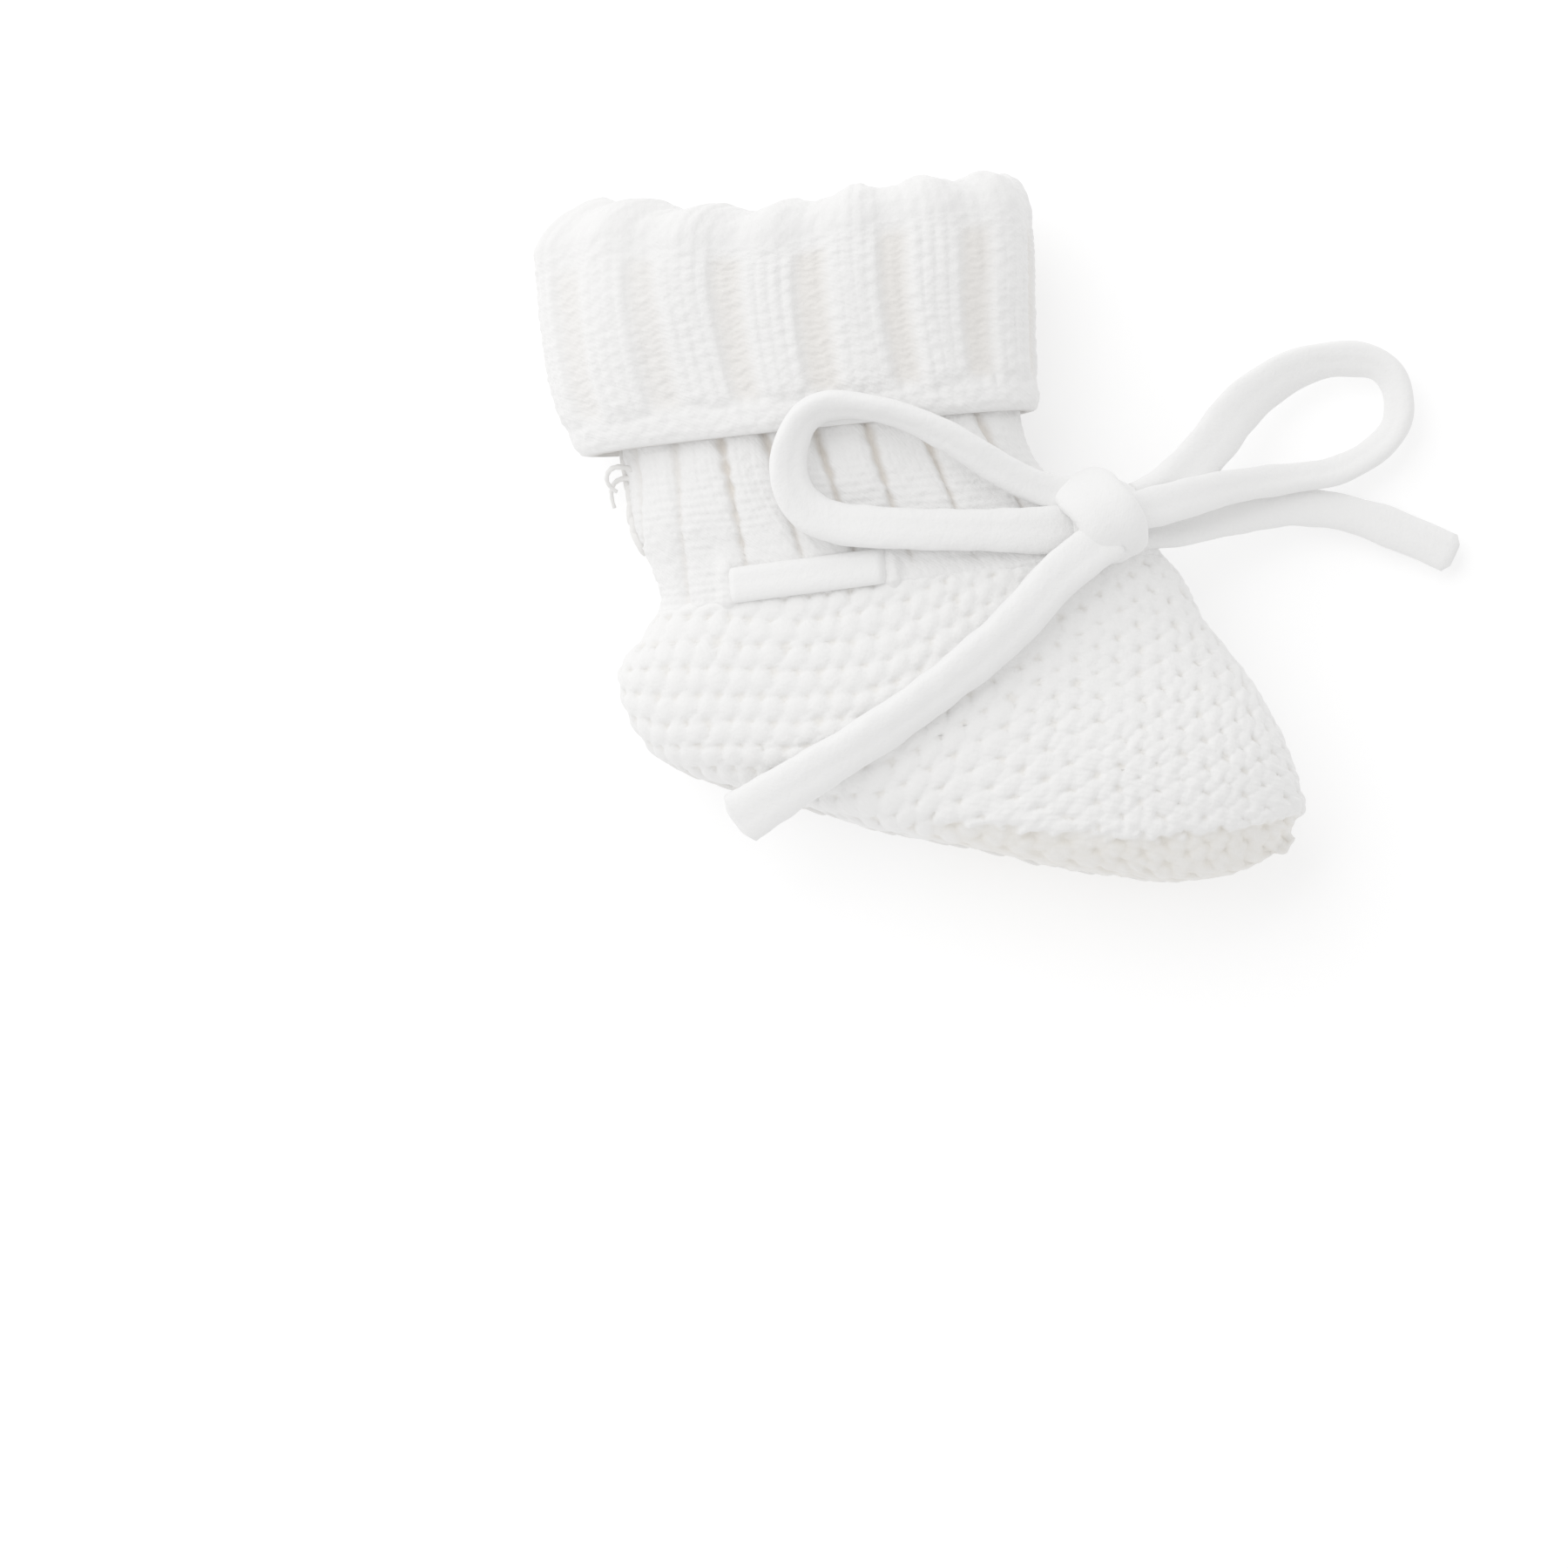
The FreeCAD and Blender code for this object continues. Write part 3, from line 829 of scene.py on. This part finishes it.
def fold_over(low, top):
    """The rings that carry the cuff's outside up over the fold and in to the leg's opening."""
    low, top = np.asarray(low), np.asarray(top)
    upward = leg_vector(0.0, 1.0)
    shifts = (top[:2] - low[:2], top[2:4] - low[2:4])
    rings = []
    for angle in np.linspace(0, math.pi, 34)[1:-1]:
        turn_in = 1 - max(math.cos(angle), 0.0)
        ends = []
        for start, shift in zip((low[:2], low[2:4]), shifts):
            rise = upward * (shift @ upward)
            ends.append(start + rise * math.sin(angle) + (shift - rise) * turn_in)
        half = low[4] + (top[4] - low[4]) * turn_in
        inward = MOUTH_INSET * (1 - math.cos(angle)) / 2
        rings.append(shrunk((*ends[0], *ends[1], half), inward))
    return rings


def cuff_height(outer, from_hem):
    """Height of the cuff's outside: ribs, rounded columns over the fold, rolled hem and uneven knit."""
    rows = len(outer.points)
    index = np.arange(rows)[:, None]
    share = outer.share[None, :]
    inside, course, dome, wale, ladder = rib_pattern(share, from_hem)
    high_end = 28.6 + 0.8 * waves(share * ROUND, 0, 12.0, 77)
    ribs = smoothstep(4.2, 6.6, from_hem) * (1 - smoothstep(high_end - 2.2, high_end + 1.2, from_hem))
    scallop = smoothstep(24.0, 30.0, from_hem) * (1 - smoothstep(rows - 10, rows, index)) * (1 - ribs)
    bulge = np.cos(math.tau * (share * RIBS + RIB_SHIFT - 0.5))
    swell = (0.55 + 0.25 * waves(share * ROUND, 0, 11.0, 56)) * bulge
    trough = (1 - inside) * ribs * 0.7
    height = inside * (dome + wale) * ribs + (1 - inside) * ladder * ribs - trough
    height = height + scallop * (swell + 0.35 * wale)
    # The hem is a low roll, set off by a broken line of pits.
    roll = 0.20 * np.clip(1 - ((from_hem - 2.2) / 3.4) ** 2, 0, 1)
    pit_line = from_hem - 4.6 - 0.5 * waves(share * ROUND, 0, 7.0, 55)
    pits = np.abs(np.sin(math.tau * share * 28 + 0.8 * waves(share * ROUND, 0, 9.0, 52)))
    height = height + roll - np.exp(-((pit_line / 0.8) ** 2)) * (0.04 + 0.42 * (1 - pits))
    height = height + 0.35 * waves(outer.points[..., 0], outer.points[..., 1], 26.0, 51)
    height = height - 0.9 * (1 - np.sqrt(np.clip(from_hem / 1.6, 0, 1)))
    height = height + stitches(share * ROUND, from_hem, 0.075)
    return height, (1 - inside) * ribs, course


def make_cuff(material):
    """The turned cuff: its outside from the hem up, the fold over the top, and its inside down to the hem."""
    columns, straight = 600, 112
    outer = Tube(np.concatenate([rings_along(CUFF, straight), fold_over(CUFF_HIGH, FOLD)]), columns)
    from_hem = np.arange(len(outer.points))[:, None] / straight * CUFF_DEEP
    height, ladders, course = cuff_height(outer, from_hem)
    raised = outer.raised(height)
    along, _ = leg_frame(outer.points)
    # The fold stands high at the back and slumps in the middle.
    slump = 1.5 * np.exp(-(((along + 47.0) / 6.0) ** 2)) - 2.0 * np.exp(-(((along + 25.0) / 14.0) ** 2))
    raised[..., :2] += (slump * smoothstep(22.0, 31.0, from_hem))[..., None] * leg_vector(0.0, 1.0)
    wall = Tube(np.stack([shrunk(ring, CUFF_WALL) for ring in rings_along(CUFF[::-1], 16)]), columns)
    mouth = Tube(np.stack([shrunk(CUFF_HIGH, MOUTH_INSET), shrunk(CUFF_HIGH, 3.6)]), columns)
    points = np.concatenate([raised, mouth.points, wall.points])
    # Painted shade in the ladders between the ribs, stronger towards the right, away from the light; the
    # inside surfaces take a fixed share.
    painted_shade_strength = 0.20 + 0.20 * smoothstep(-50.0, -18.0, along)
    tone_and_painted_shade_share = np.clip(ladders * painted_shade_strength, 0, 1)
    extra = len(mouth.points) + len(wall.points)
    tone_and_painted_shade_share = np.concatenate([tone_and_painted_shade_share, np.full((extra, columns), 0.4)])
    around = RIBS * 6.0
    knit = knit_map(outer.share[None, :] * around, course, extra, around)
    piece = grid_mesh("cuff_knit", points, knit, tone_and_painted_shade_share, looped=True)
    finish_piece(piece, "leg", ["turned_cuff"], material)


def knit_map(wale, course, plain, around=0.0):
    """Knit coordinates: on the patterned rows, carried on over the plain ones, and once more at the start."""
    knit = np.stack(np.broadcast_arrays(wale, course), axis=-1)
    knit = np.concatenate([knit, np.repeat(knit[-1:], plain, axis=0)])
    return np.concatenate([knit, knit[:, :1] + np.array([around, 0.0])], axis=1)


def stitches(across, up, size):
    """Fine uneven knit, about a millimetre a stitch, with two legs to each."""
    wale = np.mod(across / 1.5 + 0.1 * waves(across, up, 9.0, 61), 1.0) - 0.5
    legs = np.cos(math.tau * (up / 1.15 - 0.8 * np.abs(wale) + 0.2 * waves(across, up, 6.0, 62)))
    return size * (0.55 * legs + 1.2 * waves(across, up, 1.9, 63) + 0.7 * waves(across, up, 4.2, 64))


def shrunk(ring, inset):
    """The ring drawn in on all sides."""
    ring = np.asarray(ring, dtype=float)
    centre = (ring[:2] + ring[2:4]) / 2
    half = (ring[:2] - ring[2:4]) / 2
    length = np.linalg.norm(half)
    half = half * (length - inset) / length
    return np.array([*(centre + half), *(centre - half), ring[4] - inset])


LINING_INSET = 2.6                # from the cuff's outside to the leg inside it
LINING_WALL = 2.2


def make_lining(material):
    """The leg inside the cuff, ribbed on its inner face, which shows in the opening."""
    columns = 480
    low = np.asarray(LINING_LOW)
    route = [low, *(shrunk(ring, LINING_INSET) for ring in (CUFF_LOW, CUFF_MID, CUFF_HIGH))]
    outside = Tube(rings_along(route, 20), columns)
    inner = Tube(rings_along([shrunk(ring, LINING_WALL) for ring in route[::-1]], 110), columns)
    _, up = leg_frame(inner.points)
    inside, course, dome, wale, ladder = rib_pattern(inner.share[None, :], up)
    height = inside * (dome + wale) + (1 - inside) * (ladder - 0.7)
    knitted = inner.points - inner.normals * (0.6 * height[..., None])
    points = np.concatenate([outside.points, knitted])
    # Painted shade in the ladders of the inner face, and a fixed share on the outside hidden under the cuff.
    ladders = np.broadcast_to((1 - inside) * 0.5, up.shape)
    tone_and_painted_shade_share = np.concatenate([np.full(outside.points.shape[:2], 0.4), ladders])
    around = 90.0
    knit = knit_map(inner.share[None, :] * around, course[::-1], len(outside.points), around)[::-1]
    piece = grid_mesh("leg_knit", points, knit, tone_and_painted_shade_share, looped=True)
    finish_piece(piece, "leg", ["leg_lining"], material)


# ---------------- tie round the ankle
def make_tie(material):
    """The tape inside the channel; it comes out between two eyelets on each side."""
    count = 420
    down = 0.78                   # how far down the channel the tape runs
    ring = np.asarray(CHANNEL_TOP) + (np.asarray(CHANNEL_BASE) - np.asarray(CHANNEL_TOP)) * down
    tube = Tube(np.stack([ring, ring + 1e-6]), count)
    base = tube.points[0]
    away = base - np.array([*tube.centre[0], MID])
    ahead = unit(np.roll(base, -1, axis=0) - np.roll(base, 1, axis=0))
    axis = np.array([-math.sin(LEAN), math.cos(LEAN), 0.0])
    normal = np.cross(ahead, axis)
    normal *= np.sign(np.sum(normal * away, axis=1, keepdims=True))
    along, _ = leg_frame(base)
    out = smoothstep(-35.0, -32.6, along) * (1 - smoothstep(-12.2, -9.8, along))
    lift = -1.3 + 2.1 * out
    centre = base + normal * lift[:, None]
    width = 4.6 + 0.6 * out
    thick = 1.1 + 1.2 * out
    section = 28
    angle = np.linspace(0, math.tau, section, endpoint=False)[None, :]
    flat, high = oval(angle)
    flat = flat * width[:, None] / 2
    high = high * thick[:, None] / 2
    high = high - 0.18 * np.exp(-(((flat - 0.5) / 0.6) ** 2)) * (np.sin(angle) > 0) * out[:, None]
    grid = centre[:, None, :] + axis * flat[..., None] + normal[:, None, :] * high[..., None]
    grid[..., 2] = rest_on_floor(grid[..., 2])
    steps = np.hypot(*(np.roll(centre, -1, axis=0) - centre).T[:2])
    run = np.concatenate([[0], np.cumsum(steps)])[:-1]
    u = np.broadcast_to(np.arange(section + 1)[None, :] * 0.55, (count, section + 1))
    fabric = np.stack([u, np.broadcast_to(run[:, None], u.shape)], axis=-1)
    piece = grid_mesh("tie_tape", grid, fabric, np.zeros(grid.shape[:2]), looped=True)
    finish_piece(piece, "foot", ["tie_band"], material)


# ---------------- seams
def ring_quads(ring, after, section, base=0):
    """The faces from one ring of a yarn to another, and the fabric places of their corners."""
    faces, corners = [], []
    for j in range(section):
        m = (j + 1) % section
        near, far = base + ring * section, base + after * section
        faces.append((near + j, far + j, far + m, near + m))
        corners += [(ring, j), (ring + 1, j), (ring + 1, j + 1), (ring, j + 1)]
    return faces, corners


def chain(path, link, radius, width):
    """A line of linked yarn loops along the path, each lying across the seam and leaning on the next."""
    run = np.concatenate([[0], np.cumsum(np.linalg.norm(np.diff(path, axis=0), axis=1))])
    count = int(run[-1] / link)
    places, faces, corners, tones_and_painted_shades = [], [], [], []
    around, section = 18, 8
    for k in range(count):
        at = (k + 0.5) * link
        centre = np.array([np.interp(at, run, path[:, axis]) for axis in range(3)])
        ahead = np.array([np.interp(at + 0.5, run, path[:, axis]) for axis in range(3)]) - centre
        ahead /= np.linalg.norm(ahead)
        up = np.array([0.0, 0.0, 1.0])
        out = np.cross(ahead, up)
        tilt = 0.5 + 0.1 * DICE[0, k % DICE_ROWS, 5]
        across = up * math.cos(tilt) + out * 0.35 * math.sin(tilt)
        base = len(places)
        for i in range(around):
            a = i / around * math.tau
            middle = centre + ahead * (0.78 * link * math.cos(a)) + across * (width * math.sin(a))
            middle = middle + out * (0.35 * math.cos(a) * radius + 0.2 * DICE[1, k % DICE_ROWS, 7])
            radial = ahead * math.cos(a) + across * math.sin(a)
            radial /= np.linalg.norm(radial)
            rise = np.cross(np.cross(ahead, across), radial)
            lift = np.cross(radial, rise)
            lift /= np.linalg.norm(lift)
            for j in range(section):
                b = j / section * math.tau
                places.append(middle + radius * (radial * math.cos(b) + lift * math.sin(b)))
                tones_and_painted_shades.append(0.15)
        for i in range(around):
            more_faces, more_corners = ring_quads(i, (i + 1) % around, section, base)
            faces += more_faces
            corners += more_corners
    return places, faces, corners, tones_and_painted_shades


# Two loose ends of yarn below the cuff: along and up in the leg's frame, and height.
TUFT = [
    [(-46.6, 16.6, 17.0), (-48.6, 17.4, 18.2), (-50.4, 16.6, 17.8), (-50.6, 14.6, 17.0), (-49.2, 13.6, 16.4)],
    [(-46.8, 15.4, 16.0), (-49.0, 15.8, 15.4), (-50.4, 13.6, 14.8), (-49.8, 11.4, 14.2)],
]


def strand(path, radius):
    """A short end of yarn along the path, thinner at its tip."""
    section = 10
    ahead = unit(np.gradient(path, axis=0))
    side = unit(np.cross(ahead, np.array([0.0, 0.0, 1.0])))
    over = np.cross(side, ahead)
    angle = np.linspace(0, math.tau, section, endpoint=False)
    run = np.linspace(0, 1, len(path))
    size = radius * (1 - 0.35 * run) * (1 + 0.10 * np.sin(run * 40))
    across = side[:, None, :] * np.cos(angle)[None, :, None]
    rise = over[:, None, :] * np.sin(angle)[None, :, None]
    rings = path[:, None, :] + (across + rise) * size[:, None, None]
    places = rings.reshape(-1, 3).tolist()
    faces, corners = [], []
    for i in range(len(path) - 1):
        more_faces, more_corners = ring_quads(i, i + 1, section)
        faces += more_faces
        corners += more_corners
    for first, ring in ((0, range(section)), (1, range(section - 1, -1, -1))):
        base = first * (len(path) - 1) * section
        faces.append(tuple(base + k for k in ring))
        corners += [(0, k) for k in range(section)]
    return places, faces, corners, [0.1] * len(places)


def joined(parts):
    """Several meshes' points, faces, fabric corners and depths as one."""
    places, faces, corners, tones_and_painted_shades = [], [], [], []
    for more_places, more_faces, more_corners, more_deeps in parts:
        shift = len(places)
        places += list(more_places)
        faces += [tuple(shift + k for k in face) for face in more_faces]
        corners += list(more_corners)
        tones_and_painted_shades += list(more_deeps)
    return places, faces, corners, tones_and_painted_shades


def make_seams(material, sole_line, back_line):
    """The linking yarn along the sole, and up the back with its two loose ends."""
    sole = nurbs_points(sole_line.tolist(), 12)
    piece = knit_object("sole_chain", *chain(sole, link=2.7, radius=0.62, width=1.25))
    finish_piece(piece, "foot", ["sole_seam"], material)
    back = nurbs_points(back_line.tolist(), 12)
    parts = [chain(back, link=2.4, radius=0.55, width=1.1)]
    for route in TUFT:
        end = nurbs_points([(*leaning(along, up), z) for along, up, z in route], 8)
        parts.append(strand(end, radius=0.42))
    piece = knit_object("back_chain", *joined(parts))
    bend_piece(piece, "back_seam", material)


# ---------------- the scene
make_camera()
make_floor()
make_light()
# Each yarn's second colour is painted shade where the per-point values ask for it; the seam yarn also takes a
# fixed share of it as its own tone.
tape_cloth = knit_material(
    "jersey_tape", pale=(0.80, 0.797, 0.79), tone_and_painted_shade_colour=(0.68, 0.63, 0.55),
    stitch_scale=(1.1, 1.4, 1), twist_depth=0.12, fibre=0.55,
)
garter_yarn = knit_material(
    "garter_yarn", pale=(0.80, 0.795, 0.785), tone_and_painted_shade_colour=(0.70, 0.665, 0.60),
    stitch_scale=(2.0, 2.0, 1), twist_depth=0.35, fibre=0.6,
)
rib_yarn = knit_material(
    "rib_yarn", pale=(0.78, 0.775, 0.767), tone_and_painted_shade_colour=(0.62, 0.56, 0.485),
    stitch_scale=(1.0, 1.0, 1), twist_depth=0.3, fibre=0.6,
)
seam_cotton = knit_material(
    "seam_cotton", pale=(0.79, 0.78, 0.765), tone_and_painted_shade_colour=(0.68, 0.65, 0.58),
    stitch_scale=(1.0, 1.0, 1), twist_depth=0.3, fibre=0.6,
)
make_bow(tape_cloth)
make_knot(tape_cloth)
make_tie(tape_cloth)
sole_line = make_foot(garter_yarn)
back_line = make_ankle(rib_yarn)
make_cuff(rib_yarn)
make_lining(rib_yarn)
make_seams(seam_cotton, sole_line, back_line)

bpy.context.view_layer.update()
